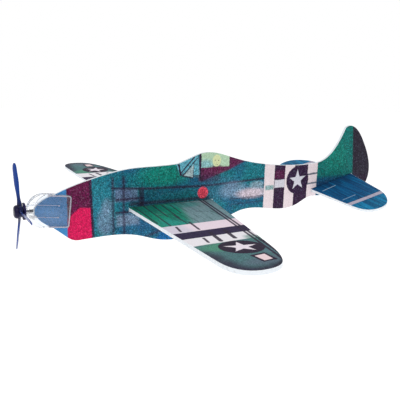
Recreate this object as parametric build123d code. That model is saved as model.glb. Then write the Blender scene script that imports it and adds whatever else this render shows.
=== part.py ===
from build123d import *
from math import cos, radians, sin, tan
import os

os.makedirs("parts", exist_ok=True)

# A foam-sheet glider. +X points to the tail, +Y to the starboard side, +Z up.
# The origin is under the middle of the overall length, level with the belly's lowest point.
# All sizes are millimetres.

# ---- The foam sheet and the three pieces die-cut from it
FOAM = 1.4                  # thickness of every foam piece
FUSELAGE_LENGTH = 186.8     # foam nose tip to the back of the rudder
WING_SPAN = 197.4
WING_ROOT_CHORD = 42.0
WING_TOP_HEIGHT = 17.2      # upper face of the wing above the belly
WING_STATION = 40.0         # wing's front corner behind the foam nose tip
WING_DIHEDRAL = 3.3         # degrees each half rises towards its tip
TAIL_SPAN = 74.0
TAIL_ROOT_CHORD = 30.0
TAIL_STATION = 143.9        # tailplane's front corner behind the foam nose tip
TAIL_TOP_HEIGHT = 17.3
TAIL_PITCH = 13.0           # degrees the rear edge is raised
TAIL_ROLL = 10.0            # degrees the loose tailplane leans in its slot
SLOT_CLEARANCE = 0.3        # around the wing, which is bent and can be shifted sideways
TAIL_SLOT_CLEARANCE = 0.15
# ---- The clear nose clip, pushed on a little nose-up
CLIP_LENGTH = 17.2
CLIP_HEIGHT = 13.7
CLIP_DOME = 6.5             # how far the rounded front reaches back
CLIP_WALL = 1.0             # each cheek
CLIP_CLEARANCE = 0.1        # between a cheek and the foam
CLIP_FRONT = 2.6            # solid plastic in front of the slot
NOSE_GAP = 0.3              # foam nose tip to the end of the slot
NOSE_TAPER = 7.7            # length of the foam nose's rounded end
NOSE_SHARPNESS = 1.0        # 0.5 is a half ellipse, 1 a parabola
CLIP_PITCH = 7.0            # degrees nose-up
CLIP_BOSS_R = 2.6
CLIP_BOSS_START = 0.8       # behind the clip's front
CLIP_BOSS_END = 12.5        # where the boss ends, behind the clip's front
CLIP_HEIGHT_ABOVE_BELLY = 20.5  # middle of the clip's rounded front
# ---- Propeller, pin, cap and washer, in order from the clip forward
PIN_R = 0.5
PIN_PITCH = 1.8             # degrees nose-up
PIN_YAW = 1.75              # degrees nose to port
PIN_DROP = 0.4              # pin's hole below the middle of the clip's front
RUNNING_CLEARANCE = 0.06    # radial, pin to propeller
SIDE_PLAY = 0.15            # axial gap on each side of the propeller
WASHER_GAP = 0.55           # bare pin between the clip and the washer
WASHER_R = 3.5
WASHER_THICK = 0.8
HUB_R = 2.3
HUB_THICK = 1.6
CAP_R = 2.7
CAP_THICK = 1.6
CAP_CROWN = 0.6             # thickness of cap left over the end of the pin
RIM_ROUND = 0.2             # rounding of the washer's and the hub's rims
PROP_R = 20.7
BLADES = 3
FIRST_BLADE_ANGLE = 31.6    # degrees from straight up, towards starboard
BLADE_THICK = 0.8

CLIP_HALF = CLIP_HEIGHT / 2
TONGUE_TIP = CLIP_FRONT + NOSE_GAP
TONGUE_SHOULDER = TONGUE_TIP + NOSE_TAPER
WASHER_FRONT = -WASHER_GAP - WASHER_THICK
HUB_BACK = WASHER_FRONT - SIDE_PLAY
HUB_FRONT = HUB_BACK - HUB_THICK
CAP_BACK = HUB_FRONT - SIDE_PLAY
CAP_FRONT = CAP_BACK - CAP_THICK

# The overall length runs from the cap's front to the rudder's back; its middle is X = 0.
clip_overhang = TONGUE_TIP * cos(radians(CLIP_PITCH))
pin_overhang = -CAP_FRONT * cos(radians(PIN_PITCH)) * cos(radians(PIN_YAW))
NOSE_X = (clip_overhang + pin_overhang - FUSELAGE_LENGTH) / 2
CLIP_X = NOSE_X - clip_overhang

# In both nose frames local X runs back from the clip's front, and local Z is square to it.
nose_frame = Pos(CLIP_X, 0, CLIP_HEIGHT_ABOVE_BELLY) * Rot(0, CLIP_PITCH, 0)
pin_frame = Pos(CLIP_X, 0, CLIP_HEIGHT_ABOVE_BELLY - PIN_DROP) * Rot(0, PIN_PITCH, PIN_YAW)
wing_frame = Pos(NOSE_X + WING_STATION, 0, WING_TOP_HEIGHT)
tail_slot_frame = Pos(NOSE_X + TAIL_STATION, 0, TAIL_TOP_HEIGHT) * Rot(0, -TAIL_PITCH, 0)
tail_frame = tail_slot_frame * Rot(TAIL_ROLL, 0, 0)


def on_nose_line(back, up):
    """Point of the fuselage's plane, given along and across the tilted clip."""
    x, _, z = (nose_frame * Pos(back, 0, up)).position
    return (x, z)


def rounded_end(taper, half, shoulder, count, sharpness=0.5):
    """Points of an end that opens backwards, from its lower to its upper shoulder.

    A sharpness of 0.5 gives a half ellipse and 1 a parabola.
    """
    points = []
    for i in range(count):
        height = -half * cos(radians(180 * i / (count - 1)))
        points.append((shoulder - taper * max(0.0, 1 - (height / half) ** 2) ** sharpness, height))
    return points


def stations(pairs):
    """Profile points: share of the fuselage length behind the nose tip, height above the belly."""
    return [(NOSE_X + share * FUSELAGE_LENGTH, height) for share, height in pairs]


def make_fuselage():
    tongue_half = CLIP_HALF + NOSE_GAP / 2
    tongue = rounded_end(NOSE_TAPER, tongue_half, TONGUE_SHOULDER, 7, NOSE_SHARPNESS)
    nose = [on_nose_line(u, v) for u, v in tongue]
    cowl_top = stations([(0.072, 28.2), (0.130, 31.5), (0.220, 34.7), (0.276, 35.0), (0.342, 35.6)])
    canopy = stations([(0.394, 39.2), (0.440, 40.0), (0.490, 37.6), (0.541, 34.9), (0.603, 32.8),
                       (0.673, 31.4), (0.753, 31.2), (0.793, 31.9)])
    fin_front = stations([(0.793, 31.9), (0.838, 36.4), (0.868, 43.4), (0.887, 49.9)])
    fin_back = stations([(0.887, 49.9), (0.904, 51.1), (0.923, 50.2), (0.964, 42.3), (0.991, 33.0),
                         (1.000, 25.4), (0.988, 17.5)])
    rear_belly = stations([(0.988, 17.5), (0.956, 14.3), (0.886, 12.6), (0.787, 13.5), (0.760, 13.2),
                           (0.723, 10.2), (0.679, 8.5), (0.584, 10.5), (0.517, 9.7)])
    scoop = stations([(0.405, 2.4), (0.356, 0.2), (0.324, 0.0), (0.281, 1.3), (0.238, 4.0),
                      (0.196, 5.5), (0.148, 5.8), (0.100, 5.5)])
    chin = stations([(0.100, 5.5), (0.079, 5.9), (0.067, 7.4)])
    with BuildSketch(Plane.XZ) as profile:
        with BuildLine():
            Spline(nose)
            Spline([nose[-1]] + cowl_top)
            Line(cowl_top[-1], canopy[0])
            Spline(canopy)
            Spline(fin_front)
            Spline(fin_back)
            Spline(rear_belly)
            Line(rear_belly[-1], scoop[0])
            Spline(scoop)
            Spline(chin)
            Line(chin[-1], nose[0])
        make_face()
    body = extrude(profile.sketch, FOAM / 2, both=True)
    slot_x = WING_ROOT_CHORD + 2 * SLOT_CLEARANCE
    slot_z = FOAM + 2 * SLOT_CLEARANCE
    wing_slot = wing_frame * Pos(WING_ROOT_CHORD / 2, 0, -FOAM / 2) * Box(slot_x, 3 * FOAM, slot_z)
    tail_x = TAIL_ROOT_CHORD + 2 * TAIL_SLOT_CLEARANCE
    # The slot is cut square through the sheet, so it is higher than the tailplane that leans in it.
    lean = radians(TAIL_ROLL)
    tail_z = FOAM / cos(lean) + FOAM * tan(lean) + 2 * TAIL_SLOT_CLEARANCE
    tail_middle = -FOAM / cos(lean) / 2
    tail_slot = tail_slot_frame * Pos(TAIL_ROOT_CHORD / 2, 0, tail_middle) * Box(tail_x, 3 * FOAM, tail_z)
    return body - wing_slot - tail_slot


def half_planform(chord, half_span, front_share, back_share, front_end, back_end, apex, shoulder):
    """Half of a tapered sheet from the centre line out: straight edges, then one rounded tip.

    The straight edges end at their own shares of the half span. The tip's outermost point, apex,
    is a share of the chord, and shoulder is a point of the tip's rear curve, as two such shares.
    """
    front = (front_share * half_span * front_end, half_span * front_end)
    back = (chord - back_share * half_span * back_end, half_span * back_end)
    tip = (apex * chord, half_span)
    rear = (shoulder[0] * chord, shoulder[1] * half_span)
    with BuildSketch() as half:
        with BuildLine():
            Line((0, 0), front)
            Spline([front, tip], tangents=[(front_share, 1), (1, 0)])
            Spline([tip, rear, back], tangents=[(1, 0), (back_share, -1)])
            Line(back, (chord, 0))
            Line((chord, 0), (0, 0))
        make_face()
    return extrude(half.sketch, -FOAM)


def make_wing():
    half = half_planform(WING_ROOT_CHORD, WING_SPAN / 2, -0.070, 0.3125, 0.88, 0.72, 0.045, (0.275, 0.940))
    starboard = Rot(WING_DIHEDRAL, 0, 0) * half
    # The bend opens a wedge under the centre line, which this strip of the full chord fills.
    strip_width = 2 * FOAM * sin(radians(WING_DIHEDRAL))
    strip = Pos(WING_ROOT_CHORD / 2, 0, -FOAM / 2) * Box(WING_ROOT_CHORD, strip_width, FOAM)
    return wing_frame * (starboard + mirror(starboard, Plane.XZ) + strip)


def make_tailplane():
    half = half_planform(TAIL_ROOT_CHORD, TAIL_SPAN / 2, 0.115, 0.145, 0.74, 0.62, 0.440, (0.715, 0.900))
    return tail_frame * (half + mirror(half, Plane.XZ))


def along_line(radius, back_from, back_to):
    """Round bar about the propeller line between two distances behind the clip's front."""
    middle = (back_from + back_to) / 2
    return Pos(middle, 0, 0) * Rot(0, 90, 0) * Cylinder(radius, back_to - back_from)


def make_clip():
    front = rounded_end(CLIP_DOME, CLIP_HALF, CLIP_DOME, 9)
    with BuildSketch(Plane.XZ) as outline:
        with BuildLine():
            Spline(front)
            Line(front[-1], (CLIP_LENGTH, CLIP_HALF))
            Line((CLIP_LENGTH, CLIP_HALF), (CLIP_LENGTH, -CLIP_HALF))
            Line((CLIP_LENGTH, -CLIP_HALF), front[0])
        make_face()
    half_width = FOAM / 2 + CLIP_CLEARANCE + CLIP_WALL
    shell = extrude(outline.sketch, half_width, both=True)
    rear_corners = shell.edges().filter_by(Axis.Y).sort_by(Axis.X)[-2:]
    shell = fillet(rear_corners, CLIP_WALL)
    shell += along_line(CLIP_BOSS_R, CLIP_BOSS_START, CLIP_BOSS_END)
    grown = rounded_end(NOSE_TAPER + NOSE_GAP, CLIP_HALF + 2 * NOSE_GAP, TONGUE_SHOULDER, 9)
    behind = 2 * CLIP_LENGTH
    with BuildSketch(Plane.XZ) as slot:
        with BuildLine():
            Spline(grown)
            Line(grown[-1], (behind, grown[-1][1]))
            Line((behind, grown[-1][1]), (behind, grown[0][1]))
            Line((behind, grown[0][1]), grown[0])
        make_face()
    shell -= extrude(slot.sketch, FOAM / 2 + CLIP_CLEARANCE, both=True)
    to_pin = nose_frame.inverse() * pin_frame
    return shell - to_pin * along_line(PIN_R, -CLIP_LENGTH, CLIP_FRONT + 2 * NOSE_GAP)


def make_pin():
    return along_line(PIN_R, CAP_FRONT + CAP_CROWN, CLIP_FRONT)


def make_washer():
    disc = along_line(WASHER_R, WASHER_FRONT, -WASHER_GAP)
    disc = fillet(disc.edges().filter_by(GeomType.CIRCLE), RIM_ROUND)
    return disc - along_line(PIN_R, 2 * WASHER_FRONT, 0)


def make_cap():
    knob = along_line(CAP_R, CAP_FRONT, CAP_BACK)
    front_rim = knob.edges().filter_by(GeomType.CIRCLE).sort_by(Axis.X)[0]
    knob = fillet(front_rim, CAP_R / 2)
    return knob - along_line(PIN_R, CAP_FRONT + CAP_CROWN, CAP_BACK + CAP_CROWN)


def make_propeller():
    bore_r = PIN_R + RUNNING_CLEARANCE
    middle = (HUB_FRONT + HUB_BACK) / 2
    hub = along_line(HUB_R, HUB_FRONT, HUB_BACK)
    hub = fillet(hub.edges().filter_by(GeomType.CIRCLE), RIM_ROUND)
    # Each blade is a loft of thin ellipses: share of the radius, width and pitch in degrees.
    sections = [(0.05, 1.8, 36), (0.20, 2.2, 34), (0.50, 2.7, 28), (0.75, 3.0, 25), (0.90, 2.9, 23),
                (0.97, 2.2, 22), (1.00, 0.9, 22)]
    for i in range(BLADES):
        turn = Pos(middle, 0, 0) * Rot(-(FIRST_BLADE_ANGLE + i * 360 / BLADES), 0, 0)
        faces = []
        for share, width, pitch in sections:
            thick = BLADE_THICK * (1.1 - 0.5 * share)
            faces.append(turn * Pos(0, 0, share * PROP_R) * Rot(0, 0, pitch) * Ellipse(thick / 2, width / 2))
        hub += loft(faces)
    return hub - along_line(bore_r, 2 * HUB_FRONT, 0)


nodes = {
    "fuselage": make_fuselage(),
    "main_wing": make_wing(),
    "tailplane": make_tailplane(),
    "nose_clip": nose_frame * make_clip(),
    "propeller_pin": pin_frame * make_pin(),
    "thrust_washer": pin_frame * make_washer(),
    "propeller": pin_frame * make_propeller(),
    "front_cap": pin_frame * make_cap(),
}

for name, piece in nodes.items():
    export_step(piece, f"parts/{name}.step")
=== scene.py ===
# %% [markdown]
# # A foam glider with a snap-on propeller nose
#
# This lesson dresses a small toy airplane. Its three big pieces are die-cut from thin white foam and
# printed in bright ink: a fuselage profile, a wing that passes through a slot, and a tailplane. A clear
# plastic clip straddles the nose and carries a pin, and a blue propeller turns on that pin. The shapes
# come from a CAD model in a fixed frame, in metres, so every piece here starts from where the CAD says
# it is. Blender adds what the CAD leaves out: soft rims, moulded details, ink, foam grain and light.

# %% Load the fixed frame
from math import cos, pi, radians, sin

import bmesh
import bpy
from mathutils import Euler, Matrix, Vector


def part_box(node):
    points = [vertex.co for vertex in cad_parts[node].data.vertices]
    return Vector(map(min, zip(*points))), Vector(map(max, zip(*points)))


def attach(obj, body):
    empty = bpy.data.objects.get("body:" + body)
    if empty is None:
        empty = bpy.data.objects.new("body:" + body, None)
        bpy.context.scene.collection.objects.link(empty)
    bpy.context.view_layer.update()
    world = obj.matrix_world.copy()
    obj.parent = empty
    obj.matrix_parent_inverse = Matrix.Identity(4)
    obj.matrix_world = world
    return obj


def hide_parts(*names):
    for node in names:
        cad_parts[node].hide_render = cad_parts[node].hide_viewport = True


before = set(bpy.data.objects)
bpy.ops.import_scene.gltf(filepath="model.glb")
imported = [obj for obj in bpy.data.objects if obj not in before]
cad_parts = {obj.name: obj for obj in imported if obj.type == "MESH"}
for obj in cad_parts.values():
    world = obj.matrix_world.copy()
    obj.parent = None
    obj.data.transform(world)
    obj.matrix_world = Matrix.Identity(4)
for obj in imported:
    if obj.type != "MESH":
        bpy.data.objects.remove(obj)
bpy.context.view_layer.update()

MM = 0.001

# %% [markdown]
# ## A place to stand
#
# The camera looks down a little from ahead of the nose, off to the left of the airplane. A camera is
# easiest to place by its own three axes: which way it looks, which way is right and which way is up.
# The turn, the dip and the small roll each have a name here, so one can be changed without the others.

# %% Camera
LOOK_TURN = radians(29.0)
LOOK_DIP = radians(13.07)
LOOK_ROLL = radians(1.31)
LENS = 43.09
CAMERA_PLACE = Vector((-121.29, -193.90, 68.88)) * MM

ahead = Vector((sin(LOOK_TURN) * cos(LOOK_DIP), cos(LOOK_TURN) * cos(LOOK_DIP), -sin(LOOK_DIP)))
level = ahead.cross(Vector((0, 0, 1))).normalized()
above = level.cross(ahead)
right = level * cos(LOOK_ROLL) + above * sin(LOOK_ROLL)
upward = above * cos(LOOK_ROLL) - level * sin(LOOK_ROLL)
lens = bpy.data.cameras.new("camera")
lens.lens = LENS
lens.sensor_width = 36
camera = bpy.data.objects.new("camera", lens)
bpy.context.scene.collection.objects.link(camera)
facing = Matrix((right, upward, -ahead)).transposed().to_4x4()
camera.matrix_world = Matrix.Translation(CAMERA_PLACE) @ facing
bpy.context.scene.camera = camera
print("camera is", round(CAMERA_PLACE.length / MM), "mm from the origin")

# %% [markdown]
# ## Joining shader nodes without the clutter
#
# Every finish below is a network of shader nodes. Adding a node, setting it and wiring it takes three
# or four lines each time, which hides the idea behind the typing. A small helper class keeps one line
# per node. An input takes a plain value or the output of another node.

# %% A helper for shader nodes
class Wires:
    """Adds shader nodes to one tree and joins them."""

    def __init__(self, tree):
        self.tree = tree

    def feed(self, socket, value):
        if isinstance(value, bpy.types.NodeSocket):
            self.tree.links.new(value, socket)
        else:
            socket.default_value = value

    def node(self, kind, values=None, **options):
        made = self.tree.nodes.new("ShaderNode" + kind)
        for name, value in options.items():
            setattr(made, name, value)
        for name, value in (values or {}).items():
            self.feed(made.inputs[name], value)
        return made

    def math(self, operation, *values):
        made = self.node("Math", operation=operation)
        for socket, value in zip(made.inputs, values):
            self.feed(socket, value)
        return made.outputs[0]

    def vector(self, operation, *values):
        made = self.node("VectorMath", operation=operation)
        for socket, value in zip(made.inputs, values):
            self.feed(socket, value)
        number = operation in ("LENGTH", "DOT_PRODUCT", "DISTANCE")
        return made.outputs["Value" if number else "Vector"]

    def scale(self, vector, factor):
        made = self.node("VectorMath", {"Vector": vector, "Scale": factor}, operation="SCALE")
        return made.outputs["Vector"]

    def step(self, value, start, end):
        """Rises softly from 0 at start to 1 at end. With start above end it falls instead."""
        values = {"Value": value, "From Min": start, "From Max": end}
        return self.node("MapRange", values, interpolation_type="SMOOTHSTEP").outputs["Result"]

    def noise(self, point, scale, detail=2.0, roughness=0.5):
        values = {"Vector": point, "Scale": scale, "Detail": detail, "Roughness": roughness}
        return self.node("TexNoise", values).outputs["Fac"]

    def mix(self, under, over, mask):
        made = self.node("Mix", data_type="RGBA")
        for number, value in ((0, mask), (6, under), (7, over)):
            self.feed(made.inputs[number], value)
        return made.outputs[2]

    def group(self, name, **values):
        made = self.node("Group", node_tree=bpy.data.node_groups[name])
        for label, value in values.items():
            self.feed(made.inputs[label], value)
        return made.outputs


def colour(red, green, blue):
    """A screen colour, 0 to 255 a channel, as the linear colour that shaders work in."""
    def linear(c):
        c = c / 255
        return c / 12.92 if c <= 0.04045 else ((c + 0.055) / 1.055) ** 2.4
    return (linear(red), linear(green), linear(blue), 1.0)


def shader_group(name, inputs, outputs):
    """An empty shader node group with named sockets: its wires, its input node and its output node."""
    tree = bpy.data.node_groups.new(name, "ShaderNodeTree")
    for label, kind, value in inputs:
        socket = tree.interface.new_socket(label, in_out="INPUT", socket_type="NodeSocket" + kind)
        socket.default_value = value
    for label, kind in outputs:
        tree.interface.new_socket(label, in_out="OUTPUT", socket_type="NodeSocket" + kind)
    taken = tree.nodes.new("NodeGroupInput").outputs
    given = tree.nodes.new("NodeGroupOutput").inputs
    return Wires(tree), taken, given


print("teal in linear light:", [round(c, 3) for c in colour(10, 130, 120)])

# %% [markdown]
# ## Ink shapes as groups
#
# The print on the foam is made of stripes, lines, round spots, a star and flat patches. Each is a small
# distance sum: how far is this point from the line, and is that less than half the line's width? Built
# once as a node group, a shape can be placed as often as the print needs, each time with its own place
# and size in millimetres. A group gives back only a mask from 0 to 1, and the material decides the ink.

# %% Shape groups
wires, taken, given = shader_group(
    "Stripe",
    [("Value", "Float", 0.0), ("From", "Float", 0.0), ("To", "Float", 1.0), ("Edge", "Float", 0.2)],
    [("Mask", "Float")],
)
half = wires.math("MULTIPLY", taken["Edge"], 0.5)
enters = wires.step(
    taken["Value"],
    wires.math("SUBTRACT", taken["From"], half),
    wires.math("ADD", taken["From"], half),
)
leaves = wires.step(
    taken["Value"],
    wires.math("ADD", taken["To"], half),
    wires.math("SUBTRACT", taken["To"], half),
)
wires.feed(given["Mask"], wires.math("MULTIPLY", enters, leaves))

wires, taken, given = shader_group(
    "Stroke",
    [("Point", "Vector", (0, 0, 0)), ("From", "Vector", (0, 0, 0)), ("To", "Vector", (1, 0, 0)),
     ("Width", "Float", 0.5), ("Edge", "Float", 0.2)],
    [("Mask", "Float")],
)
run = wires.vector("SUBTRACT", taken["To"], taken["From"])
reach = wires.vector("SUBTRACT", taken["Point"], taken["From"])
along = wires.math("DIVIDE", wires.vector("DOT_PRODUCT", reach, run), wires.vector("DOT_PRODUCT", run, run))
along = wires.node("Clamp", {"Value": along}).outputs[0]
scaled = wires.scale(run, along)
gap = wires.math(
    "SUBTRACT", wires.vector("DISTANCE", reach, scaled), wires.math("MULTIPLY", taken["Width"], 0.5)
)
half = wires.math("MULTIPLY", taken["Edge"], 0.5)
wires.feed(given["Mask"], wires.step(gap, half, wires.math("MULTIPLY", half, -1.0)))

wires, taken, given = shader_group(
    "Disc",
    [("Point", "Vector", (0, 0, 0)), ("Centre", "Vector", (0, 0, 0)), ("Radius", "Float", 1.0),
     ("Edge", "Float", 0.2)],
    [("Mask", "Float")],
)
gap = wires.math("SUBTRACT", wires.vector("DISTANCE", taken["Point"], taken["Centre"]), taken["Radius"])
half = wires.math("MULTIPLY", taken["Edge"], 0.5)
wires.feed(given["Mask"], wires.step(gap, half, wires.math("MULTIPLY", half, -1.0)))

# One point of a five-pointed star is folded onto itself, so that one straight edge does for all ten.
wires, taken, given = shader_group(
    "Star",
    [("Point", "Vector", (0, 0, 0)), ("Centre", "Vector", (0, 0, 0)), ("Radius", "Float", 1.0),
     ("Turn", "Float", 0.0), ("Edge", "Float", 0.2)],
    [("Mask", "Float")],
)
reach = wires.vector("SUBTRACT", taken["Point"], taken["Centre"])
split = wires.node("SeparateXYZ", {0: reach}).outputs
angle = wires.math("SUBTRACT", wires.math("ARCTAN2", split["Y"], split["X"]), taken["Turn"])
folded = wires.math("ABSOLUTE", wires.math("WRAP", angle, pi / 5, -pi / 5))
length = wires.vector("LENGTH", reach)
tip_reach = wires.math("MULTIPLY", length, wires.math("COSINE", folded))
tip_gap = wires.math("SUBTRACT", tip_reach, taken["Radius"])
side_gap = wires.math("MULTIPLY", length, wires.math("SINE", folded))
STAR_EDGE = radians(72)
gap = wires.math(
    "ADD",
    wires.math("MULTIPLY", tip_gap, cos(STAR_EDGE)),
    wires.math("MULTIPLY", side_gap, sin(STAR_EDGE)),
)
half = wires.math("MULTIPLY", taken["Edge"], 0.5)
wires.feed(given["Mask"], wires.step(gap, half, wires.math("MULTIPLY", half, -1.0)))

wires, taken, given = shader_group(
    "Side of line",
    [("Point", "Vector", (0, 0, 0)), ("From", "Vector", (0, 0, 0)), ("To", "Vector", (1, 0, 0))],
    [("Distance", "Float")],
)
run = wires.vector("NORMALIZE", wires.vector("SUBTRACT", taken["To"], taken["From"]))
reach = wires.vector("SUBTRACT", taken["Point"], taken["From"])
cross = wires.vector("CROSS_PRODUCT", run, reach)
wires.feed(given["Distance"], wires.node("SeparateXYZ", {0: cross}).outputs["Z"])

wires, taken, given = shader_group(
    "Soft spot",
    [("Point", "Vector", (0, 0, 0)), ("Centre", "Vector", (0, 0, 0)), ("Reach", "Vector", (1, 1, 1))],
    [("Mask", "Float")],
)
spread = wires.vector("DIVIDE", wires.vector("SUBTRACT", taken["Point"], taken["Centre"]), taken["Reach"])
wires.feed(given["Mask"], wires.step(wires.vector("LENGTH", spread), 1.0, 0.35))
print("ink shapes:", [g.name for g in bpy.data.node_groups])

# %% [markdown]
# ## Grain of the ink and of the foam
#
# Ink on foam is never an even film. The foam's closed cells leave tiny dimples that take more or less
# ink, so a flat colour turns into a fine salt-and-pepper grain, and the outline of a stripe wanders by
# a tenth of a millimetre. Two groups give that to every printed piece: one wobbles the point that the
# shapes are measured from, and one makes a colour lighter and darker in grains. A third group is the
# foam's own surface, small rounded cells with fine tooth on them, used as bump on ink and bare foam.

# %% Grain groups
wires, taken, given = shader_group(
    "Ragged print",
    [("Point", "Vector", (0, 0, 0)), ("Size", "Float", 0.6), ("Amount", "Float", 0.3)],
    [("Point", "Vector")],
)
scale = wires.math("DIVIDE", 1.0, taken["Size"])
drift = wires.node("TexNoise", {"Vector": taken["Point"], "Scale": scale, "Detail": 1.0}).outputs["Color"]
drift = wires.vector("SUBTRACT", drift, (0.5, 0.5, 0.5))
drift = wires.scale(drift, taken["Amount"])
drift = wires.vector("MULTIPLY", drift, (1.0, 1.0, 0.0))
wires.feed(given["Point"], wires.vector("ADD", taken["Point"], drift))

wires, taken, given = shader_group(
    "Grained ink",
    [("Color", "Color", (0.5, 0.5, 0.5, 1)), ("Point", "Vector", (0, 0, 0)), ("Grain", "Float", 0.5),
     ("Strength", "Float", 0.3), ("Flecks", "Float", 0.3)],
    [("Color", "Color")],
)
scale = wires.math("DIVIDE", 1.0, taken["Grain"])
tone = wires.noise(taken["Point"], scale, 3.0, 0.7)
tone = wires.node(
    "MapRange", {"Value": tone, "From Min": 0.3, "From Max": 0.7, "To Min": -1.0, "To Max": 1.0}
).outputs["Result"]
paleness = wires.node("RGBToBW", {"Color": taken["Color"]}).outputs["Val"]
depth = wires.step(paleness, 0.75, 0.25)
depth = wires.math("MAXIMUM", depth, 0.15)
lift = wires.math("MULTIPLY", wires.math("MULTIPLY", tone, taken["Strength"]), depth)
lift = wires.math("ADD", 1.0, lift)
shaded = wires.scale(taken["Color"], lift)
other = wires.vector("ADD", taken["Point"], (31.0, 17.0, 5.0))
fleck = wires.step(wires.noise(other, scale, 2.0, 0.6), 0.54, 0.68)
fleck = wires.math("MULTIPLY", wires.math("MULTIPLY", fleck, taken["Flecks"]), depth)
pale = wires.scale(shaded, 1.7)
pale = wires.vector("ADD", pale, (0.05, 0.07, 0.08))
wires.feed(given["Color"], wires.mix(shaded, pale, fleck))

wires, taken, given = shader_group(
    "Foam cells",
    [("Point", "Vector", (0, 0, 0)), ("Cell", "Float", 0.8), ("Tooth", "Float", 0.4)],
    [("Height", "Float"), ("GrooveShade", "Float")],
)
scale = wires.math("DIVIDE", 1.0, taken["Cell"])
cells = wires.node("TexVoronoi", {"Vector": taken["Point"], "Scale": scale}, feature="SMOOTH_F1")
dome = wires.math("SUBTRACT", 1.0, cells.outputs["Distance"])
tooth = wires.noise(taken["Point"], wires.math("MULTIPLY", scale, 5.0), 3.0, 0.6)
wires.feed(given["Height"], wires.math("ADD", dome, wires.math("MULTIPLY", tooth, taken["Tooth"])))
# This mask marks the low grooves between the cells, where bare foam gets painted shade.
wires.feed(given["GrooveShade"], wires.step(cells.outputs["Distance"], 0.45, 0.75))
print("grain groups are ready, cells about 0.8 mm across")


# %% Laying one ink over another
class Print(Wires):
    """A material's wires with a point in the print's own millimetres, and inks laid in order."""

    def start(self, point, base):
        self.point = point
        self.ink = base

    def lay(self, ink, mask, strength=1.0):
        if strength < 1.0:
            mask = self.math("MULTIPLY", mask, strength)
        self.ink = self.mix(self.ink, ink, mask)

    def stripe(self, value, start, end, edge=0.25):
        return self.group("Stripe", Value=value, From=start, To=end, Edge=edge)["Mask"]

    def stroke(self, start, end, width, edge=0.25):
        values = {"Point": self.point, "From": (*start, 0), "To": (*end, 0), "Width": width, "Edge": edge}
        return self.group("Stroke", **values)["Mask"]

    def disc(self, centre, radius, edge=0.25):
        return self.group("Disc", Point=self.point, Centre=(*centre, 0), Radius=radius, Edge=edge)["Mask"]

    def star(self, centre, radius, turn, edge=0.2):
        values = {"Point": self.point, "Centre": (*centre, 0), "Radius": radius, "Turn": turn, "Edge": edge}
        return self.group("Star", **values)["Mask"]

    def spot(self, centre, reach):
        return self.group("Soft spot", Point=self.point, Centre=(*centre, 0), Reach=(*reach, 1))["Mask"]

    def patch(self, corners, edge=0.25):
        """A flat-sided patch with its corners in turn, anticlockwise where the second axis points up."""
        inside = None
        for start, end in zip(corners, corners[1:] + corners[:1]):
            side = self.group("Side of line", Point=self.point, From=(*start, 0), To=(*end, 0))["Distance"]
            inside = side if inside is None else self.math("MINIMUM", inside, side)
        return self.step(inside, -edge / 2, edge / 2)

    def both(self, first, second):
        return self.math("MULTIPLY", first, second)


def new_material(name, slot_colour):
    """A node material with only its Principled shader and its output."""
    material = bpy.data.materials.new(name)
    material.use_nodes = True
    material.diffuse_color = slot_colour
    principled = material.node_tree.nodes["Principled BSDF"]
    return material, Print(material.node_tree), principled


def own_point(wires):
    """The piece's own coordinates, in millimetres, which travel with it when it moves."""
    place = wires.node("TexCoord").outputs["Object"]
    return wires.scale(place, 1 / MM)


print("inks can now be laid in order")

# %% [markdown]
# ## Bare foam
#
# Where the cutting die passes, the white foam shows: along every edge, and under the wing and the
# tailplane, which are printed on one side only. Expanded foam is matt and a little see-through, so its
# rims look soft and bright rather than chalky. A touch of subsurface scattering does that, and the cell
# group gives the cut its pebbled surface. The grooves between the cells are painted a little darker than
# the cells, as painted shade.

# %% Bare foam material
FOAM_WHITE = colour(240, 245, 250)
bare_foam, wires, shader = new_material("bare white foam", FOAM_WHITE)
point = own_point(wires)
cells = wires.group("Foam cells", Point=point, Cell=0.9, Tooth=0.5)
tint = wires.mix(FOAM_WHITE, colour(234, 240, 247), wires.noise(point, 0.25, 2.0))
# The grooves between the cells are painted a darker white: painted shade.
wires.feed(shader.inputs["Base Color"], wires.mix(tint, colour(222, 227, 232), cells["GrooveShade"]))
shader.inputs["Roughness"].default_value = 0.75
shader.inputs["Subsurface Weight"].default_value = 0.15
shader.inputs["Subsurface Radius"].default_value = (1.0, 1.0, 1.0)
shader.inputs["Subsurface Scale"].default_value = 0.4 * MM
bump = wires.node("Bump", {"Height": cells["Height"], "Strength": 0.35, "Distance": 0.06 * MM})
wires.feed(shader.inputs["Normal"], bump.outputs["Normal"])
print("bare foam has", len(bare_foam.node_tree.nodes), "nodes")


# %% Finishing a printed material
def finish_print(wires, shader, point, grain, strength, flecks):
    """Grain in the ink, then the foam's dimples under it and a half-matt varnish that varies."""
    values = {"Point": point, "Grain": grain, "Strength": strength, "Flecks": flecks}
    grained = wires.group("Grained ink", Color=wires.ink, **values)
    wires.feed(shader.inputs["Base Color"], grained["Color"])
    cells = wires.group("Foam cells", Point=point, Cell=0.8, Tooth=0.8)
    gloss = wires.math("ADD", 0.55, wires.math("MULTIPLY", wires.noise(point, 0.7, 3.0), 0.24))
    wires.feed(shader.inputs["Roughness"], gloss)
    shader.inputs["Specular IOR Level"].default_value = 0.15
    bump = wires.node("Bump", {"Height": cells["Height"], "Strength": 0.3, "Distance": 0.04 * MM})
    wires.feed(shader.inputs["Normal"], bump.outputs["Normal"])


# %% [markdown]
# ## The fuselage print
#
# The print is a loose, painterly fighter airplane: a steel-blue cowling, a two-part red band behind it,
# a speckled teal body with dark panel lines, a bubble canopy, pale and dark stripes round the rear, and
# a plain star on a dark disc. The inks are laid in that order. Every place is a distance behind the
# foam's nose tip and a height above its lowest point, in millimetres, which makes the print easy to
# check with a ruler. Lettering and any real maker's or air force's markings are left out: the disc, the
# star and the pale patches are plain shapes.

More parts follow.
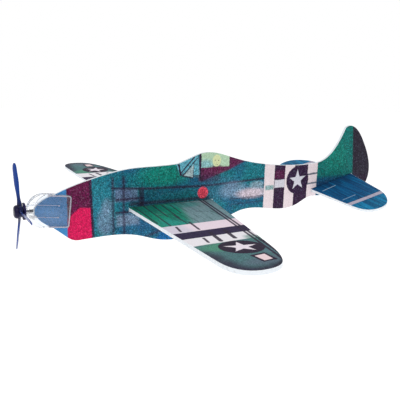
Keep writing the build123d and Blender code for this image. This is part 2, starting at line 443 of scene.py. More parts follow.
# %% Fuselage ink
COWL_BLUE = colour(66, 134, 192)
BODY_TEAL = colour(16, 106, 118)
BODY_BLUE = colour(22, 82, 118)
BODY_GREEN = colour(6, 128, 112)
INK_DARK = colour(38, 22, 50)
INK_MAROON = colour(92, 14, 62)
INK_RED = colour(204, 16, 82)
STRIPE_PALE = colour(226, 212, 216)
STRIPE_DARK = colour(46, 20, 52)
HAZE = colour(118, 132, 160)
FIN_TEAL = colour(0, 104, 98)

nose_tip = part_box("fuselage")[0].x / MM
fuselage_ink, p, shader = new_material("fuselage print", BODY_TEAL)
own = own_point(p)
split = p.node("SeparateXYZ", {0: own}).outputs
flat = p.node("CombineXYZ", {"X": p.math("SUBTRACT", split["X"], nose_tip), "Y": split["Z"]}).outputs[0]
ragged = p.group("Ragged print", Point=flat, Size=0.7, Amount=0.5)["Point"]
split = p.node("SeparateXYZ", {0: ragged}).outputs
back, up = split["X"], split["Y"]
p.start(ragged, BODY_TEAL)

# broad washes of colour
p.lay(BODY_BLUE, p.step(p.noise(flat, 0.09, 3.0), 0.40, 0.62), 0.8)
p.lay(colour(34, 118, 136), p.spot((26, 22), (11, 16)), 0.75)
p.lay(BODY_GREEN, p.spot((57, 31), (17, 8)), 0.9)
p.lay(BODY_GREEN, p.spot((66, 20), (18, 5)), 0.45)
p.lay(colour(30, 80, 122), p.spot((50, 8), (18, 9)), 0.6)
p.lay(colour(48, 104, 130), p.spot((86, 22), (15, 9)), 0.7)
p.lay(HAZE, p.spot((29, 12), (5, 9)), 0.5)
p.lay(HAZE, p.spot((30, 19), (3.5, 5)), 0.45)
p.lay(colour(108, 116, 152), p.patch([(33.5, 20.5), (44, 20), (44, 26), (33.5, 26)], 1.6), 0.6)
p.lay(colour(120, 136, 160), p.patch([(34, 9.5), (44.5, 9.5), (44.5, 14.5), (34, 14.5)], 2.2), 0.65)
p.lay(colour(24, 84, 112), p.patch([(46, 18), (77, 18), (77, 25), (46, 26)], 1.2), 0.45)

# cowling and the two-part band behind it
p.lay(COWL_BLUE, p.stripe(back, -5, 12.9))
p.lay(colour(104, 160, 208), p.both(p.stripe(back, 3, 11.5, 2.5), p.stripe(up, 15, 22, 3)), 0.35)
p.lay(INK_MAROON, p.stripe(back, 12.9, 23.4, 0.4))
lower = p.patch([(12.9, -3), (23.2, -3), (22.8, 19.0), (18.2, 19.5), (14.8, 16.8), (12.9, 15.2)], 0.6)
p.lay(INK_RED, lower)
p.lay(INK_DARK, p.stroke((22.9, 30), (23.9, -2), 1.1, 0.5), 0.9)

# panel lines
for place in (32.6, 37.5):
    p.lay(INK_DARK, p.stroke((place, 6), (place, 31), 1.2, 1.3), 0.75)
p.lay(INK_DARK, p.patch([(44.6, 17), (47, 17), (47, 26), (44.6, 26)], 1.0), 0.7)
for start, end in (
    ((32.6, 26.6), (50, 25.2)), ((34, 21.4), (46, 21.2)), ((34, 15.6), (41, 15.4)),
    ((50, 25.2), (76.4, 24.3)), ((76.4, 24.3), (95, 24.8)), ((95, 24.8), (112, 25.5)),
):
    p.lay(INK_DARK, p.stroke(start, end, 1.0, 1.0), 0.85)
p.lay(INK_DARK, p.stroke((41, 18.8), (80, 18.4), 1.5, 1.6), 0.8)
p.lay(INK_DARK, p.stroke((54, 26), (54, 31.5), 0.5, 0.8), 0.25)
p.lay(INK_DARK, p.stroke((63.4, 36.5), (62.6, 25), 0.6, 0.8), 0.45)

# the scoop under the belly
p.lay(colour(14, 92, 150), p.patch([(47.5, -3), (66, -3), (66, 6.4), (58, 6.4)], 0.8), 0.9)
p.lay(INK_DARK, p.stroke((47.5, 3.0), (60, 6.8), 1.3, 1.4), 0.7)
p.lay(INK_DARK, p.stroke((60, 6.8), (80, 7.5), 0.9, 1.2), 0.5)

# windshield and canopy
p.lay(colour(96, 168, 186), p.patch([(64.6, 30.2), (75.3, 28.2), (73.4, 42), (60, 42)], 0.4))
p.lay(INK_DARK, p.patch([(64.8, 30.2), (75.3, 28.0), (75.3, 29.6), (66, 31.0)], 0.5), 0.7)
p.lay(colour(164, 186, 190), p.patch([(66.4, 29.9), (71.2, 28.7), (71.9, 34.9)], 0.4))
p.lay(INK_DARK, p.stroke((63.5, 37.0), (65.0, 30.2), 0.9, 0.3))
p.lay(INK_DARK, p.stroke((72.3, 38.6), (64.7, 30.7), 0.6, 0.25))
p.lay(INK_DARK, p.stroke((73.4, 37.6), (66.2, 29.9), 0.5, 0.25))
p.lay(INK_DARK, p.stroke((71.9, 35.4), (71.3, 28.4), 0.35, 0.25), 0.8)
p.lay(INK_DARK, p.stroke((66.0, 29.7), (71.4, 28.4), 0.5, 0.25))
cockpit = [(74.6, 27.0), (78, 26.4), (84.6, 28.4), (91.5, 31.4), (101.5, 34.6), (101, 42), (74.6, 42)]
p.lay(INK_MAROON, p.patch(cockpit, 1.4), 0.92)
p.lay(colour(52, 30, 66), p.both(p.stripe(back, 75, 86, 1.5), p.stripe(up, 26, 29.5, 2)), 0.5)
glass_pane = p.patch([(75.4, 33.0), (91.0, 33.0), (91.0, 42.0), (75.4, 42.0)], 0.6)
p.lay(colour(178, 208, 178), glass_pane)
p.lay(colour(120, 176, 186), p.both(glass_pane, p.spot((78, 34), (6, 4))), 0.8)
p.lay(INK_DARK, p.stroke((75.3, 41), (75.2, 27.6), 0.9, 0.3), 0.95)

# a plain head in the canopy: eyes at half height, a fifth of its width to each side of the middle,
# the nose halfway from there to the chin and the mouth a third of the way on
HEAD_X, HEAD_Z = 84.0, 36.0
HEAD_WIDE, HEAD_TALL = 4.6, 5.6
p.lay(INK_MAROON, p.spot((HEAD_X, HEAD_Z - HEAD_TALL * 0.62), (4.5, 2.2)), 0.8)
oval = p.vector("SUBTRACT", ragged, (HEAD_X, HEAD_Z, 0))
oval = p.vector("DIVIDE", oval, (HEAD_WIDE / 2, HEAD_TALL / 2, 1))
p.lay(colour(214, 222, 172), p.step(p.vector("LENGTH", oval), 1.08, 0.92))
for side_sign in (-1, 1):
    p.lay(INK_DARK, p.disc((HEAD_X + side_sign * HEAD_WIDE / 5, HEAD_Z), 0.28, 0.25), 0.85)
nose_z = HEAD_Z - HEAD_TALL / 4
mouth_z = nose_z - HEAD_TALL / 12
p.lay(INK_DARK, p.stroke((HEAD_X, HEAD_Z - 0.4), (HEAD_X, nose_z), 0.15, 0.2), 0.5)
p.lay(INK_DARK, p.stroke((HEAD_X - 0.6, mouth_z - 0.1), (HEAD_X + 0.6, mouth_z - 0.1), 0.2, 0.2), 0.7)

# a plain round spot and the pale streak
p.lay(colour(222, 70, 92), p.disc((76.8, 21.1), 2.8, 0.5))
mottle = p.step(p.noise(flat, 1.6, 1.0), 0.45, 0.55)
p.lay(colour(176, 40, 62), p.both(p.disc((76.8, 21.1), 1.5, 0.7), mottle), 0.7)
p.lay(colour(128, 150, 176), p.spot((94, 21), (11, 5.5)), 0.55)
p.lay(colour(206, 190, 200), p.spot((105, 18.6), (12.5, 3.6)), 0.85)
p.lay(colour(150, 172, 186), p.spot((108, 22.5), (6, 2.6)), 0.6)
p.lay(INK_DARK, p.stroke((92, 16.4), (113, 16.6), 0.6, 0.9), 0.6)
p.lay(INK_DARK, p.stroke((92, 13.6), (113, 13.9), 0.6, 0.9), 0.5)

# stripes round the rear, the fin and the rudder
p.lay(STRIPE_PALE, p.stripe(back, 112.4, 118.7))
p.lay(STRIPE_DARK, p.stripe(back, 118.7, 125.5))
p.lay(INK_MAROON, p.both(p.stripe(back, 118.9, 125.3), p.stripe(up, 24.5, 29, 1.5)), 0.55)
p.lay(STRIPE_PALE, p.stripe(back, 125.5, 131.8))
p.lay(STRIPE_DARK, p.stripe(back, 131.8, 140.7))
p.lay(STRIPE_PALE, p.stripe(back, 140.7, 147.4))
p.lay(colour(204, 202, 212), p.patch([(119, 20), (125.4, 20), (125.4, 24), (119, 24)], 0.5))
p.lay(colour(96, 152, 152), p.patch([(113.2, 19.2), (118.4, 19.2), (118.4, 21.6), (113.2, 21.6)], 0.7), 0.8)
for height in (25.6, 20.5):
    p.lay(colour(20, 60, 84), p.stroke((140.7, height), (150, height + 0.6), 0.9, 0.5), 0.85)
p.lay(FIN_TEAL, p.stripe(back, 147.4, 260, 0.35))
p.lay(colour(0, 124, 108), p.spot((160, 34), (11, 12)), 0.6)
p.lay(colour(6, 64, 104), p.both(p.stripe(back, 147.4, 260, 0.35), p.stripe(up, -5, 23.5, 3.0)), 0.85)
p.lay(colour(10, 40, 84), p.both(p.stripe(back, 147.8, 260, 0.35), p.stripe(up, 16, 21, 2.0)), 0.6)
p.lay(colour(36, 14, 38), p.patch([(174.5, 18), (200, 18), (200, 60), (170.0, 60)], 0.9), 0.95)

# the disc and its star
p.lay(colour(42, 18, 52), p.disc((134.0, 23.1), 7.4, 0.4))
p.lay(colour(206, 206, 216), p.star((134.0, 23.1), 5.7, radians(92.9)))
p.lay(INK_DARK, p.step(p.noise(flat, 0.5, 3.0), 0.60, 0.75), 0.18)
quiet = p.math("MULTIPLY", p.stripe(back, -5, 12.9), -0.7)
quiet = p.math("ADD", quiet, p.math("MULTIPLY", lower, -0.45))
finish_print(p, shader, own, 0.5, p.math("ADD", 0.95, quiet), p.math("ADD", 0.8, quiet))
print("fuselage print has", len(fuselage_ink.node_tree.nodes), "nodes")

# %% [markdown]
# ## The wing print
#
# The wing is printed on top only, the same on both halves, so its print is measured by the distance
# back from the front corner at the root and the distance out from the middle. Green with spanwise
# panel lines turns to grey behind a slanting boundary, then come three stripes and the tip with a
# second star. The two dark lines along the rear mark a flap hinge.

# %% Wing ink
WING_ROOT_FRONT = -49.54
FLAP_SLOPE = -0.263

wing_ink, p, shader = new_material("wing print", BODY_GREEN)
own = own_point(p)
split = p.node("SeparateXYZ", {0: own}).outputs
side = split["Y"]
flat = p.node(
    "CombineXYZ",
    {"X": p.math("SUBTRACT", split["X"], WING_ROOT_FRONT), "Y": p.math("ABSOLUTE", side)},
).outputs[0]
ragged = p.group("Ragged print", Point=flat, Size=0.8, Amount=0.4)["Point"]
split = p.node("SeparateXYZ", {0: ragged}).outputs
back, out = split["X"], split["Y"]
p.start(ragged, colour(4, 138, 112))

p.lay(colour(30, 150, 140), p.spot((5, 38), (9, 12)), 0.7)
p.lay(colour(0, 112, 96), p.spot((4, 6), (14, 8)), 0.6)
slant = p.group("Side of line", Point=ragged, From=(20.5, 4.2, 0), To=(10.6, 34.5, 0))["Distance"]
p.lay(colour(124, 150, 160), p.step(slant, 0.5, -4.0), 0.92)
p.lay(colour(60, 140, 136), p.spot((24, 6), (12, 8)), 0.7)

# spanwise brush streaks and panel lines that lean forward towards the tip
lane = p.math("ADD", back, p.math("MULTIPLY", out, 0.155))
lanes = p.node("CombineXYZ", {"X": lane, "Y": p.math("MULTIPLY", out, 0.07)}).outputs[0]
inboard = p.stripe(out, -5, 41.4, 0.4)
p.lay(colour(2, 70, 62), p.both(p.step(p.noise(lanes, 0.75, 3.0, 0.6), 0.50, 0.64), inboard), 0.55)
p.lay(colour(150, 190, 186), p.both(p.step(p.noise(lanes, 1.1, 2.0), 0.60, 0.74), inboard), 0.30)
for start in (1.4, 3.6, 5.0, 8.2, 9.6, 11.4, 13.0, 14.7, 21.5, 26.0):
    p.lay(INK_DARK, p.stroke((start, 0.5), (start - 3.4, 22.0), 0.6, 0.9), 0.45)
for start, end in (
    ((6.8, 0.5), (0.9, 42.0)), ((11.0, 0.7), (6.8, 26.0)), ((10.4, 24.0), (8.0, 41.5)),
    ((18.6, 3.0), (14.8, 22.0)), ((2.4, 1.0), (-1.6, 35.0)), ((15.0, 2.0), (10.0, 30.0)),
):
    p.lay(INK_DARK, p.stroke(start, end, 0.7, 0.5), 0.85)
for start, end in (((2, 12), (16, 12.5)), ((4, 22), (14, 22.5)), ((21.8, 22.2), (31.0, 25.9))):
    p.lay(INK_DARK, p.stroke(start, end, 0.6, 0.7), 0.7)
p.lay(INK_DARK, p.stroke((9.2, 35.7), (10.0, 38.2), 0.5, 0.3), 0.7)

# stripes
p.lay(colour(246, 228, 240), p.stripe(out, 41.4, 52.5, 0.4))
p.lay(colour(206, 208, 226), p.both(p.stripe(out, 41.4, 52.5, 0.4), p.stripe(back, -12, 5, 4)), 0.6)
p.lay(colour(40, 24, 66), p.stripe(out, 52.5, 60.8, 0.4))
p.lay(colour(246, 242, 248), p.stripe(out, 60.8, 69.7, 0.4))

# the tip
p.lay(colour(74, 116, 120), p.stripe(out, 69.7, 140, 0.5))
p.lay(colour(78, 152, 122), p.spot((1.5, 74), (9, 6)), 0.75)
p.lay(colour(92, 128, 140), p.spot((15, 82), (6, 9)), 0.7)
p.lay(colour(92, 106, 124), p.spot((8, 92), (13, 5)), 0.7)
edge_run = [
    (-5.2, 78), (-5.2, 83.0), (-4.9, 89.3), (-4.5, 93.9),
    (-2.6, 97.1), (1.3, 98.5), (6.2, 97.8), (12, 96),
]
for start, end in zip(edge_run, edge_run[1:]):
    p.lay(colour(46, 34, 62), p.stroke(start, end, 4.5, 5.0), 0.7)
tip_back = [(5, 98.4), (11, 94), (14.5, 88), (17.3, 79), (20.8, 68)]
for start, end in zip(tip_back, tip_back[1:]):
    p.lay(colour(34, 30, 50), p.stroke(start, end, 1.3, 1.2), 0.85)
p.lay(colour(70, 140, 124), p.spot((18, 69), (4, 5)), 0.7)

# disc, star and the detached pale patch
p.lay(colour(36, 20, 48), p.disc((8.15, 76.9), 7.3, 0.4))
p.lay(colour(246, 236, 246), p.star((8.15, 76.9), 5.6, radians(-2.7)))
p.lay(colour(36, 20, 48), p.patch([(10.7, 85.4), (10.1, 92.6), (5.0, 92.8), (5.1, 85.8)], 0.4))
p.lay(colour(248, 224, 228), p.patch([(9.8, 86.5), (9.1, 91.6), (6.1, 91.8), (6.0, 86.9)], 0.3))

# plain leaning ticks on the pale stripes
for start, end, width in (
    ((10.0, 38.2), (7.6, 50.7), 0.6), ((8.8, 56.4), (6.2, 68.0), 1.2), ((14.9, 55.8), (12.2, 67.0), 1.2),
    ((3.0, 62.0), (1.8, 67.5), 0.6), ((2.0, 43.5), (0.4, 50.5), 0.6),
):
    p.lay(INK_DARK, p.stroke(start, end, width + 0.35, 0.35), 0.95)

# flap hinge: two lines parallel to each other along the rear
hinge = p.math("SUBTRACT", back, p.math("MULTIPLY", out, FLAP_SLOPE))
p.lay(colour(150, 170, 178), p.both(p.stripe(hinge, 35.9, 37.4, 0.3), p.stripe(out, 0, 41.4, 0.5)), 0.5)
for place in (35.9, 37.4):
    p.lay(INK_DARK, p.stripe(hinge, place - 0.5, place + 0.5, 0.35), 0.95)
finish_print(p, shader, own, 0.5, 0.45, 0.35)
print("wing print has", len(wing_ink.node_tree.nodes), "nodes")

# %% [markdown]
# ## The tailplane print
#
# The tailplane leans and pitches in its slot, so its print is measured in its own flat frame. A Mapping
# node set to Texture takes a point back from the leaning sheet to that frame. Deep blue runs out to
# cyan at the tips, with one pale stripe across each half.

# %% Tailplane ink
TAIL_CORNER = Vector((54.36, 0.0, 17.3))
TAIL_LEAN = radians(10)
TAIL_PITCH = radians(-13)

tail_ink, p, shader = new_material("tailplane print", colour(0, 90, 140))
own = own_point(p)
laid_flat = p.node("Mapping", vector_type="TEXTURE")
p.feed(laid_flat.inputs["Vector"], own)
laid_flat.inputs["Location"].default_value = TAIL_CORNER
laid_flat.inputs["Rotation"].default_value = (TAIL_LEAN, TAIL_PITCH, 0)
split = p.node("SeparateXYZ", {0: laid_flat.outputs[0]}).outputs
flat = p.node("CombineXYZ", {"X": split["X"], "Y": p.math("ABSOLUTE", split["Y"])}).outputs[0]
ragged = p.group("Ragged print", Point=flat, Size=0.8, Amount=0.4)["Point"]
out = p.node("SeparateXYZ", {0: ragged}).outputs["Y"]
p.start(ragged, colour(2, 84, 134))
p.lay(colour(4, 62, 104), p.spot((14, 1), (20, 9)), 0.7)
p.lay(colour(22, 134, 180), p.step(out, 20, 33), 0.95)
streaks = p.noise(p.vector("MULTIPLY", flat, (1.6, 0.10, 1.0)), 0.5, 3.0)
p.lay(colour(6, 46, 88), p.step(streaks, 0.48, 0.62), 0.65)
p.lay(colour(20, 124, 176), p.step(streaks, 0.46, 0.34), 0.5)
stripe = p.group("Side of line", Point=ragged, From=(3.3, 23.9, 0), To=(24.9, 24.9, 0))["Distance"]
p.lay(colour(186, 178, 196), p.stripe(stripe, 0, 2.4, 0.4))
p.lay(INK_DARK, p.stroke((3.3, 23.7), (24.9, 24.7), 0.4, 0.4), 0.4)
p.lay(colour(176, 206, 228), p.stroke((3.5, 6.0), (13.0, 5.5), 0.45, 0.3), 0.8)
p.lay(colour(176, 206, 228), p.stroke((4.3, 19.8), (13.0, 19.8), 0.4, 0.3), 0.6)
for start in (17.0, 21.5):
    p.lay(INK_DARK, p.stroke((start, 1), (start - 1.5, 34), 0.35, 0.4), 0.35)
finish_print(p, shader, own, 0.5, 0.4, 0.25)
print("tailplane print has", len(tail_ink.node_tree.nodes), "nodes")

# %% [markdown]
# ## Die-cut foam sheets
#
# Each foam piece is one flat sheet with a cut rim. The CAD gives its outline exactly, but as triangles
# with knife-sharp edges. A copy of the mesh gets its flats merged back into whole faces, and the rim
# gets a small round, because a steel-rule die presses the skin down as it cuts. Faces that look along
# the sheet's normal take the print, and the rest stay bare. Working on a copy leaves the CAD piece as
# it is for collisions, while this piece stands for it in pictures.

# %% Foam sheets
RIM_ROUND = 0.16 * MM


def copy_of(node, name):
    """A new piece that starts as a copy of a CAD node's mesh, with its doubled points welded."""
    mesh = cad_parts[node].data.copy()
    mesh.name = name
    mesh.materials.clear()
    piece = bpy.data.objects.new(name, mesh)
    bpy.context.scene.collection.objects.link(piece)
    shape = bmesh.new()
    shape.from_mesh(mesh)
    bmesh.ops.remove_doubles(shape, verts=shape.verts, dist=0.002 * MM)
    bmesh.ops.dissolve_limit(shape, angle_limit=radians(1.0), verts=shape.verts, edges=shape.edges)
    shape.normal_update()
    return piece, shape


def finish_mesh(piece, shape, smooth_angle):
    """Writes the edited shape back to its piece, smooth where its faces meet gently."""
    bmesh.ops.recalc_face_normals(shape, faces=shape.faces)
    shape.to_mesh(piece.data)
    shape.free()
    piece.data.shade_smooth()
    piece.data.set_sharp_from_angle(angle=smooth_angle)


def outer_edges(edges):
    """Keeps the edges of each face's outer outline and drops the smaller outlines of its slots."""
    by_vert = {}
    for edge in edges:
        for vert in edge.verts:
            by_vert.setdefault(vert, []).append(edge)
    loops = []
    unseen = set(edges)
    while unseen:
        loop, waiting = set(), [next(iter(unseen))]
        while waiting:
            edge = waiting.pop()
            if edge in loop:
                continue
            loop.add(edge)
            waiting += [e for v in edge.verts for e in by_vert[v] if e not in loop]
        unseen -= loop
        loops.append(loop)
    longest = max(sum(e.calc_length() for e in loop) for loop in loops)
    kept = [loop for loop in loops if sum(e.calc_length() for e in loop) > 0.4 * longest]
    print("outlines:", len(loops), "of which outer:", len(kept))
    return [e for e in edges if any(e in loop for loop in kept)]


def foam_sheet(node, name, body, printed_normals, ink):
    """A foam piece that stands for a CAD sheet: rounded rim, print on the sides that take it."""
    piece, shape = copy_of(node, name)
    normals = [Vector(n).normalized() for n in printed_normals]
    skins = normals + [-n for n in normals]

    def is_skin(face):
        return any(face.normal.dot(n) > 0.999 for n in skins)

    rim = [
        e for e in shape.edges
        if len(e.link_faces) == 2 and is_skin(e.link_faces[0]) != is_skin(e.link_faces[1])
    ]
    rim = outer_edges(rim)
    bmesh.ops.bevel(
        shape, geom=rim, offset=RIM_ROUND, segments=3, profile=0.5, affect="EDGES", clamp_overlap=True
    )
    shape.normal_update()
    for face in shape.faces:
        printed = any(face.normal.dot(n) > 0.98 for n in normals)
        face.material_index = 1 if printed else 0
    piece.data.materials.append(bare_foam)
    piece.data.materials.append(ink)
    finish_mesh(piece, shape, radians(40))
    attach(piece, body)
    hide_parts(node)
    print(name, "has", len(rim), "rim edges and", len(piece.data.polygons), "faces")


foam_sheet("fuselage", "foam_fuselage", "airframe", [(0, -1, 0), (0, 1, 0)], fuselage_ink)
foam_sheet("main_wing", "foam_wing", "wing", [(0, 0.0576, 0.9983), (0, -0.0576, 0.9983)], wing_ink)
tail_up = Euler((TAIL_LEAN, TAIL_PITCH, 0)).to_matrix() @ Vector((0, 0, 1))
foam_sheet("tailplane", "foam_tailplane", "tail", [tail_up], tail_ink)

# %% [markdown]
# ## The clear nose clip
#
# The clip is moulded in clear styrene: two thin cheeks that pinch the foam, joined by a domed front
# with a boss for the pin. Clear plastic is all about its edges, so the copy gets rounded ones, and the
# cheeks get the raised bead that strengthens their open border. The bead is made in a pale, half-clear
# plastic that paints the bright highlight along the rim, and thin pale rods along the boss's edges are
# painted highlight lines. Light passes a clear shell on its way to the foam behind it, but a ray tracer
# finds that path slowly. For shadow rays alone, the material swaps the plastic for a faint tint, so the
# foam inside is lit cleanly.

# %% Clear plastic
clear_plastic, wires, shader = new_material("clear styrene", colour(232, 238, 244))
point = own_point(wires)
tint = wires.mix(colour(249, 251, 253), colour(240, 244, 250), wires.noise(point, 0.3, 2.0))
wires.feed(shader.inputs["Base Color"], tint)
scuff = wires.step(wires.noise(point, 2.4, 4.0, 0.7), 0.55, 0.75)
wires.feed(shader.inputs["Roughness"], wires.math("ADD", 0.03, wires.math("MULTIPLY", scuff, 0.10)))
shader.inputs["Transmission Weight"].default_value = 1.0
shader.inputs["IOR"].default_value = 1.49
flow = wires.noise(wires.vector("MULTIPLY", point, (0.35, 1.0, 1.0)), 0.6, 2.0)
bump = wires.node("Bump", {"Height": flow, "Strength": 0.25, "Distance": 0.10 * MM})
wires.feed(shader.inputs["Normal"], bump.outputs["Normal"])
thin = wires.node("BsdfTransparent", {"Color": colour(238, 241, 245)})
swap = wires.node("MixShader")
wires.feed(swap.inputs[0], wires.node("LightPath").outputs["Is Shadow Ray"])
wires.feed(swap.inputs[1], shader.outputs[0])
wires.feed(swap.inputs[2], thin.outputs[0])
wires.feed(clear_plastic.node_tree.nodes["Material Output"].inputs["Surface"], swap.outputs[0])
print("clear plastic has", len(clear_plastic.node_tree.nodes), "nodes")

# %% Clip shape
CLIP_EDGE_ROUND = 0.14 * MM

clip, shape = copy_of("nose_clip", "clear_nose_clip")
sharp = [
    e for e in shape.edges
    if len(e.link_faces) == 2 and e.calc_face_angle(0) > radians(50)
]
bmesh.ops.bevel(
    shape, geom=sharp, offset=CLIP_EDGE_ROUND, segments=2, profile=0.5, affect="EDGES", clamp_overlap=True
)
clip.data.materials.append(clear_plastic)
finish_mesh(clip, shape, radians(35))
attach(clip, "nose")
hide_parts("nose_clip")
print("clip has", len(sharp), "rounded edges and", len(clip.data.polygons), "faces")

# %% Raised bead of the clip, and pale rods for painted highlights
CLIP_TILT = radians(7.0)
CLIP_FACE = 1.8
CLIP_HALF_HEIGHT = 6.85
CLIP_REAR = 17.2
BEAD_INSET = 0.4
BEAD_R = 0.26
HIGHLIGHT_LINE_R = 0.09
HIGHLIGHT_DOT_R = 0.24
CLIP_MIDDLE_HEIGHT = 20.5
FRONT_INSET = 0.05

# The pale, half-clear colour of the bead and the rods is a painted highlight for the clip's bright rim and
# the boss's edges.
bead_highlight_plastic, wires, shader = new_material("styrene bead with painted highlight", colour(236, 224, 232))
point = own_point(wires)
highlight_and_gloss_noise = wires.noise(point, 1.3, 3.0)
wires.feed(shader.inputs["Base Color"], wires.mix(colour(240, 236, 246), colour(222, 220, 236), highlight_and_gloss_noise))
wires.feed(shader.inputs["Roughness"], wires.math("ADD", 0.2, wires.math("MULTIPLY", highlight_and_gloss_noise, 0.25)))
shader.inputs["Transmission Weight"].default_value = 0.55
bump = wires.node("Bump", {"Height": wires.noise(point, 4.0, 3.0), "Strength": 0.2, "Distance": 0.03 * MM})
wires.feed(shader.inputs["Normal"], bump.outputs["Normal"])

# The clip's front is the lowest x of its box, and its middle line tilts nose-up from there.
clip_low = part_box("nose_clip")[0]
clip_front = Vector((clip_low.x / MM + FRONT_INSET, 0.0, CLIP_MIDDLE_HEIGHT))
clip_frame = Matrix.Translation(clip_front) @ Matrix.Rotation(CLIP_TILT, 4, "Y")


def rod(shape, path, radius, sides=10):
    """A round rod along a path in the clip's frame, closed by domed ends."""
    points = [Vector(q) for q in path]
    rings = []
    for i, q in enumerate(points):
        before = points[max(i - 1, 0)]
        after = points[min(i + 1, len(points) - 1)]
        line = (after - before).normalized()
        across = Vector((0, 1, 0))
        beside = line.cross(across).normalized()
        ring = []
        for k in range(sides):
            turn = 2 * pi * k / sides
            spot = q + (across * cos(turn) + beside * sin(turn)) * radius
            ring.append(shape.verts.new(clip_frame @ spot * MM))
        rings.append(ring)
    for ring, after in zip(rings, rings[1:]):
        for k in range(sides):
            shape.faces.new((ring[k], ring[(k + 1) % sides], after[(k + 1) % sides], after[k]))
    first = (rings[0], points[0], points[0] - points[1])
    last = (rings[-1], points[-1], points[-1] - points[-2])
    for ring, q, step in (first, last):
        peak = shape.verts.new(clip_frame @ (q + step.normalized() * radius * 0.7) * MM)
        for k in range(sides):
            shape.faces.new((ring[k], ring[(k + 1) % sides], peak))


def border_path(face):
    """Along the upper edge, round the rear corners and back along the lower edge of one cheek."""
    top = CLIP_HALF_HEIGHT - BEAD_INSET
    rear = CLIP_REAR - BEAD_INSET
    round_off = 0.9
    path = [(7.6, face, top), (11.0, face, top)]
    for turn in range(7):
        a = pi / 2 * turn / 6
        path.append((rear - round_off + round_off * sin(a), face, top - round_off + round_off * cos(a)))
    for turn in range(7):
        a = pi / 2 * turn / 6
        path.append((rear - round_off + round_off * cos(a), face, -top + round_off - round_off * sin(a)))
    path += [(12.0, face, -top), (9.0, face, -top)]
    return path


beads = bmesh.new()
for face in (-CLIP_FACE, CLIP_FACE):
    rod(beads, border_path(face), BEAD_R)
    # Thin pale rods along the boss's upper and lower edges, with dots at their ends, are painted highlight
    # lines and glints.
    for height in (2.55, -2.45):
        rod(beads, [(2.2, face, height), (7.0, face, height), (12.3, face, height)], HIGHLIGHT_LINE_R)
        rod(beads, [(12.0, face * 1.03, height * 0.97), (12.5, face * 1.03, height * 0.97)], HIGHLIGHT_DOT_R)
bead_mesh = bpy.data.meshes.new("clip_beads")
bead_piece = bpy.data.objects.new("clip_beads", bead_mesh)
bpy.context.scene.collection.objects.link(bead_piece)
bead_mesh.materials.append(bead_highlight_plastic)
finish_mesh(bead_piece, beads, radians(60))
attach(bead_piece, "nose")
print("clip beads have", len(bead_mesh.polygons), "faces")

# %% [markdown]
# ## Propeller, cap, washer and pin
#
# The propeller, its cap and its thrust washer are moulded in glossy navy plastic. Their CAD shapes are
# right as they are, so they keep their meshes and take a better material. Gloss shows the moulding:
# faint flow lines, and a skin that is a little rougher in some places than in others. The colour is
# painted darker navy at the hub's centre, as painted shade, and lighter blue away from it, as painted
# light for the light that thin plastic lets through, so the blades pick up more blue than the hub.

# %% Navy plastic and steel
def navy_plastic(name, painted_shade_navy, painted_light_navy, centre, spread):
    """Glossy moulded plastic, painted dark at a centre as painted shade and lighter away from it as painted
    light.
    """
    material, wires, shader = new_material(name, painted_light_navy)
    point = own_point(wires)
    away = wires.math("DIVIDE", wires.vector("DISTANCE", point, centre), spread)
    flow = wires.noise(wires.vector("MULTIPLY", point, (1.0, 0.4, 0.4)), 1.2, 3.0)
    away = wires.math("ADD", away, wires.math("MULTIPLY", flow, 0.25))
    wires.feed(shader.inputs["Base Color"], wires.mix(painted_shade_navy, painted_light_navy, wires.step(away, 0.2, 1.0)))
    wires.feed(shader.inputs["Roughness"], wires.math("ADD", 0.12, wires.math("MULTIPLY", flow, 0.2)))
    shader.inputs["Specular IOR Level"].default_value = 0.22
    ripple = wires.noise(point, 3.0, 3.0)
    bump = wires.node("Bump", {"Height": ripple, "Strength": 0.2, "Distance": 0.03 * MM})
    wires.feed(shader.inputs["Normal"], bump.outputs["Normal"])
    return material


def dress(node, material):
    """Gives a CAD piece a better material and leaves its shape alone."""
    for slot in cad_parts[node].material_slots:
        slot.material = material
    print(node, "wears", material.name)


hub_low, hub_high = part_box("front_cap")
hub_centre = (hub_low + hub_high) / 2 / MM
# For blades and hub alike, the first colour is painted shade at the hub's centre and the second is painted
# light away from it.
blade_plastic = navy_plastic("navy blade plastic", colour(12, 12, 56), colour(8, 58, 140), hub_centre, 12.0)
hub_plastic = navy_plastic("navy hub plastic", colour(8, 6, 34), colour(22, 16, 72), hub_centre, 6.0)
dress("propeller", blade_plastic)
dress("front_cap", hub_plastic)
dress("thrust_washer", hub_plastic)

pin_steel, wires, shader = new_material("pin steel", colour(70, 72, 80))
point = own_point(wires)
drawn = wires.noise(wires.vector("MULTIPLY", point, (0.2, 6.0, 6.0)), 1.0, 3.0)
wires.feed(shader.inputs["Base Color"], wires.mix(colour(40, 42, 50), colour(96, 98, 106), drawn))
wires.feed(shader.inputs["Roughness"], wires.math("ADD", 0.25, wires.math("MULTIPLY", drawn, 0.2)))
shader.inputs["Metallic"].default_value = 1.0
bump = wires.node("Bump", {"Height": drawn, "Strength": 0.2, "Distance": 0.01 * MM})
wires.feed(shader.inputs["Normal"], bump.outputs["Normal"])
dress("propeller_pin", pin_steel)

# %% [markdown]
# ## Floor and light
#
# The toy hangs over a plain pale floor in soft studio light. A large soft light above and ahead gives
# the shapes their shading, a weaker one fills from the other side, and the pale world does the rest.
# The floor lies well below, so the airplane throws only a breath of shadow.

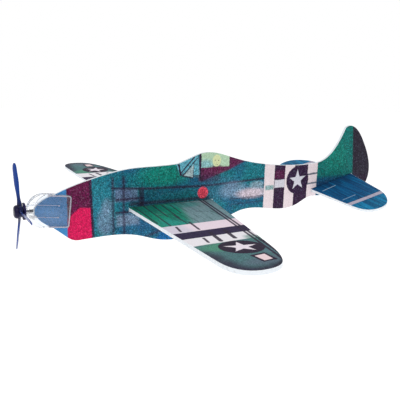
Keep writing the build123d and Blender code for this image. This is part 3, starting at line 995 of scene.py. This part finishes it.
# %% Floor, world and lights
FLOOR_DROP = 120 * MM
WORLD_LIGHT = 0.70
FLOOR_GLOW = 0.38

floor_mesh = bpy.data.meshes.new("floor")
half = 4.0
floor_mesh.from_pydata(
    [(x * half, y * half, -FLOOR_DROP) for x, y in ((-1, -1), (1, -1), (1, 1), (-1, 1))],
    [],
    [(0, 1, 2, 3)],
)
floor = bpy.data.objects.new("floor", floor_mesh)
bpy.context.scene.collection.objects.link(floor)
paper, wires, shader = new_material("pale floor", colour(250, 250, 250))
grain = wires.noise(own_point(wires), 0.02, 2.0)
wires.feed(shader.inputs["Base Color"], wires.mix(colour(252, 252, 252), colour(250, 250, 250), grain))
shader.inputs["Roughness"].default_value = 0.9
shader.inputs["Emission Color"].default_value = (1.0, 1.0, 1.0, 1.0)
shader.inputs["Emission Strength"].default_value = FLOOR_GLOW
floor.data.materials.append(paper)

world = bpy.data.worlds.new("studio")
world.use_nodes = True
sky = Wires(world.node_tree)
seen = sky.node("LightPath").outputs["Is Camera Ray"]
background = world.node_tree.nodes["Background"]
background.inputs["Color"].default_value = (1.0, 1.0, 1.0, 1.0)
extra = sky.math("MULTIPLY", seen, 1.0 - WORLD_LIGHT)
sky.feed(background.inputs["Strength"], sky.math("ADD", WORLD_LIGHT, extra))
bpy.context.scene.world = world
bpy.context.scene.view_settings.view_transform = "Standard"


def soft_light(name, place, size, power):
    """A square soft light that faces the middle of the airplane."""
    lamp = bpy.data.lights.new(name, "AREA")
    lamp.size = size
    lamp.energy = power
    lit = bpy.data.objects.new(name, lamp)
    bpy.context.scene.collection.objects.link(lit)
    lit.location = place
    lit.rotation_euler = (Vector((0, 0, 0.02)) - lit.location).to_track_quat("-Z", "Y").to_euler()
    print(name, "gives", power, "W from", [round(c, 2) for c in place])


soft_light("key", Vector((-0.45, -0.55, 0.75)), 0.7, 1.6)
soft_light("fill", Vector((0.7, -0.5, 0.35)), 0.6, 0.5)
soft_light("rim", Vector((0.1, 0.8, 0.5)), 0.6, 0.7)
